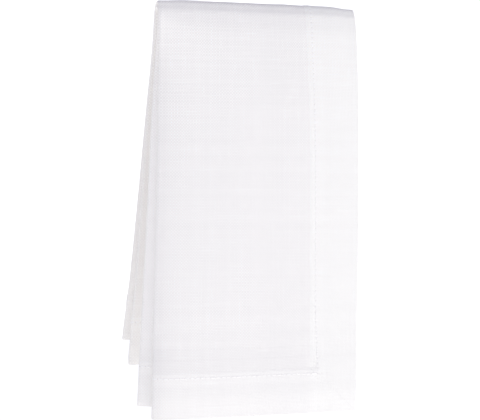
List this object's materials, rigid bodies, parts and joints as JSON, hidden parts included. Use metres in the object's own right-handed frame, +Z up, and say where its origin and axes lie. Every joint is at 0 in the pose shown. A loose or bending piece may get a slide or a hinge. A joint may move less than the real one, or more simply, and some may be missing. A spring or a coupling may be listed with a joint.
{
  "type": "folded square tablecloth of napkin size, doubled over as it hangs",
  "caption": "Square hemmed table linen pleated into a narrow strip and doubled over a rail so that it hangs in two layered halves.",
  "frame": {"origin": "middle of the inside of the top fold, where a rail bears", "axes": "+Z up, +X along the top fold to the right, -Y out of the front half's face"},
  "size_m": [0.152, 0.0516, 0.271],
  "materials": {
    "linen": "matt white plain weave with slubs, bleached linen look"
  },
  "bodies": {
    "root": {"tablecloth": "linen"}
  },
  "joints": []
}
